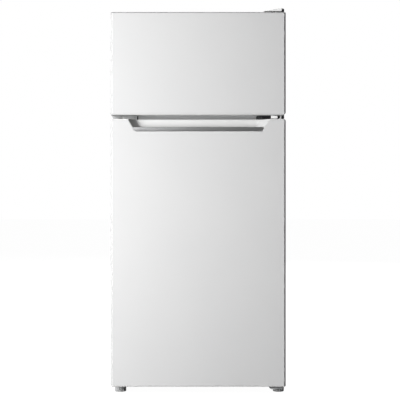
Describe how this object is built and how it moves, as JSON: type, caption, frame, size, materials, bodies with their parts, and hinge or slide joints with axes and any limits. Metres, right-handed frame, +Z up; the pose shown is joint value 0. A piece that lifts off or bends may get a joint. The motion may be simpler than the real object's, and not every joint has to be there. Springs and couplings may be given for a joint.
{
  "type": "top freezer refrigerator",
  "caption": "Compact upright two-door refrigerator with the freezer on top, a recessed trapezoid handle pocket in the lower door, right-hand hinges and levelling feet.",
  "frame": {"origin": "on the floor, under the centre of the body's footprint", "axes": "+X to the right of a person facing the doors, -Y out of the doors' faces, +Z up"},
  "size_m": [0.495, 0.53, 1.1],
  "materials": {
    "door_steel": "semi-gloss white coil-coated sheet steel",
    "case_steel": "white sheet steel with a fine pebble texture",
    "white_plastic": "moulded white plastic, semi-gloss",
    "liner_plastic": "vacuum-formed white plastic, glossy",
    "gasket_rubber": "soft extruded magnetic gasket, satin",
    "foam": "rigid insulating foam with a fine cell texture",
    "lip_metal": "satin metal strip with fine lengthwise grain",
    "zinc_steel": "zinc-plated pressed steel",
    "galvanised_steel": "galvanised sheet steel",
    "black_plastic": "moulded black plastic, fine texture",
    "black_paint": "black enamel on pressed steel",
    "copper": "drawn copper tube, slightly dulled",
    "cold_plate": "roll-bonded aluminium sheet",
    "shelf_glass": "toughened clear glass with a green edge",
    "clear_plastic": "clear moulded plastic, lightly frosted",
    "wire": "white plastic-coated steel wire",
    "lens": "translucent ribbed lamp lens",
    "grey_plastic": "moulded grey plastic",
    "roller_plastic": "hard black plastic roller"
  },
  "bodies": {
    "cabinet": {"outer_case": "case_steel", "back_panel": "galvanised_steel", "base_panel": "galvanised_steel", "mullion_rail": "door_steel", "freezer_liner": "liner_plastic", "fridge_liner": "liner_plastic", "freezer_evaporator": "cold_plate", "fridge_evaporator": "cold_plate", "condenser_tube": "copper", "cabinet_foam": "foam", "compressor_tray": "galvanised_steel", "compressor": "black_paint", "terminal_cover": "black_plastic", "filter_drier": "copper", "discharge_tube": "copper", "suction_tube": "copper", "drip_tray": "grey_plastic", "power_inlet": "black_plastic", "top_hinge_bracket": "zinc_steel", "top_hinge_pin": "zinc_steel", "top_hinge_screw": "zinc_steel", "top_hinge_cover": "white_plastic", "middle_hinge_bracket": "zinc_steel", "middle_hinge_pin": "zinc_steel", "middle_hinge_cover": "white_plastic", "middle_hinge_block": "black_plastic", "bottom_hinge_bracket": "zinc_steel", "bottom_hinge_pin": "zinc_steel", "bottom_hinge_screw": "zinc_steel", "freezer_shelf": "wire", "glass_shelf_lower": "shelf_glass", "glass_shelf_upper": "shelf_glass", "crisper_cover": "shelf_glass", "thermostat_housing": "white_plastic", "lamp_cover": "lens", "lamp_bulb": "lens"},
    "freezer_door": {"freezer_door_skin": "door_steel", "freezer_door_top_cap": "white_plastic", "freezer_door_bottom_cap": "white_plastic", "freezer_door_foam": "foam", "freezer_door_liner": "liner_plastic", "freezer_door_gasket": "gasket_rubber", "freezer_door_shelf": "clear_plastic"},
    "fridge_door": {"fridge_door_skin": "door_steel", "fridge_door_top_cap": "white_plastic", "fridge_door_bottom_cap": "white_plastic", "fridge_door_foam": "foam", "fridge_door_liner": "liner_plastic", "fridge_door_gasket": "gasket_rubber", "handle_trim": "lip_metal", "door_shelf_upper": "clear_plastic", "door_shelf_middle": "clear_plastic", "door_shelf_lower": "clear_plastic"},
    "crisper": {"crisper_drawer": "clear_plastic"},
    "knob": {"thermostat_knob": "white_plastic"},
    "lamp_switch": {"lamp_switch_plunger": "white_plastic"},
    "left_foot": {"front_left_foot": "grey_plastic"},
    "right_foot": {"front_right_foot": "grey_plastic"},
    "left_roller": {"rear_left_roller": "roller_plastic"},
    "right_roller": {"rear_right_roller": "roller_plastic"}
  },
  "joints": [
    {"name": "freezer_door_hinge", "type": "hinge", "parent": "cabinet", "child": "freezer_door", "pos_m": [0.233, -0.243, 0.7915], "axis": [0, 0, 1], "range_deg": [0, 130]},
    {"name": "fridge_door_hinge", "type": "hinge", "parent": "cabinet", "child": "fridge_door", "pos_m": [0.233, -0.243, 0.024], "axis": [0, 0, 1], "range_deg": [0, 130]},
    {"name": "crisper_slide", "type": "slide", "parent": "cabinet", "child": "crisper", "axis": [0, -1, 0], "range_m": [0, 0.043]},
    {"name": "thermostat_turn", "type": "hinge", "parent": "cabinet", "child": "knob", "pos_m": [-0.045, -0.15, 0.714], "axis": [0, 0, -1], "range_deg": [0, 300]},
    {"name": "lamp_switch_slide", "type": "slide", "parent": "cabinet", "child": "lamp_switch", "axis": [0, -1, 0], "range_m": [0, 0.006]},
    {"name": "left_foot_turn", "type": "hinge", "parent": "cabinet", "child": "left_foot", "pos_m": [-0.224, -0.19, 0.02], "axis": [0, 0, 1], "continuous": true},
    {"name": "right_foot_turn", "type": "hinge", "parent": "cabinet", "child": "right_foot", "pos_m": [0.231, -0.19, 0.02], "axis": [0, 0, 1], "continuous": true},
    {"name": "left_roller_spin", "type": "hinge", "parent": "cabinet", "child": "left_roller", "pos_m": [-0.215, 0.215, 0.012], "axis": [1, 0, 0], "continuous": true},
    {"name": "right_roller_spin", "type": "hinge", "parent": "cabinet", "child": "right_roller", "pos_m": [0.215, 0.215, 0.012], "axis": [1, 0, 0], "continuous": true}
  ],
  "couplings": [
    {"joint": "lamp_switch_slide", "follows": "fridge_door_hinge", "m_per_rad": 0.0026}
  ]
}
